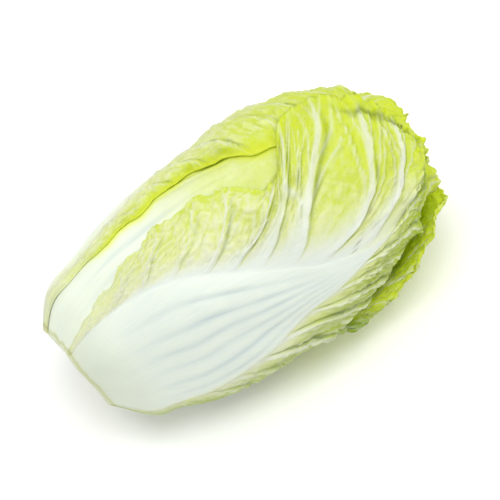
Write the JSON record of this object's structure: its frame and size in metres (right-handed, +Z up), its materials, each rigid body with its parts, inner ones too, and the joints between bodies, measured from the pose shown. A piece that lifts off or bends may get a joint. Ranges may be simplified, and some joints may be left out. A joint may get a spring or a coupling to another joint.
{
  "type": "napa cabbage",
  "caption": "Napa cabbage head lying on its side: broad white ribs at the root end and wrapped, ruffled yellow-green leaves.",
  "frame": {"origin": "on the surface that the head lies on, under the middle of the head", "axes": "+X from the cut root end to the leafy top, +Z up, -Y the side of the outermost leaf with the wide midrib"},
  "size_m": [0.296, 0.1666, 0.1703],
  "materials": {
    "outer_leaf": "fresh leaf, satin, pale yellow-green with white ribs",
    "inner_leaf": "fresh young leaf, satin, yellow",
    "stem": "cut white stem flesh, matt, a little dried"
  },
  "bodies": {
    "root": {"outer_leaf_1": "outer_leaf", "outer_leaf_2": "outer_leaf", "outer_leaf_3": "outer_leaf", "outer_leaf_4": "outer_leaf", "outer_leaf_5": "outer_leaf", "outer_leaf_6": "outer_leaf", "outer_leaf_7": "outer_leaf", "outer_leaf_8": "outer_leaf", "heart": "inner_leaf", "stem": "stem"}
  },
  "joints": []
}
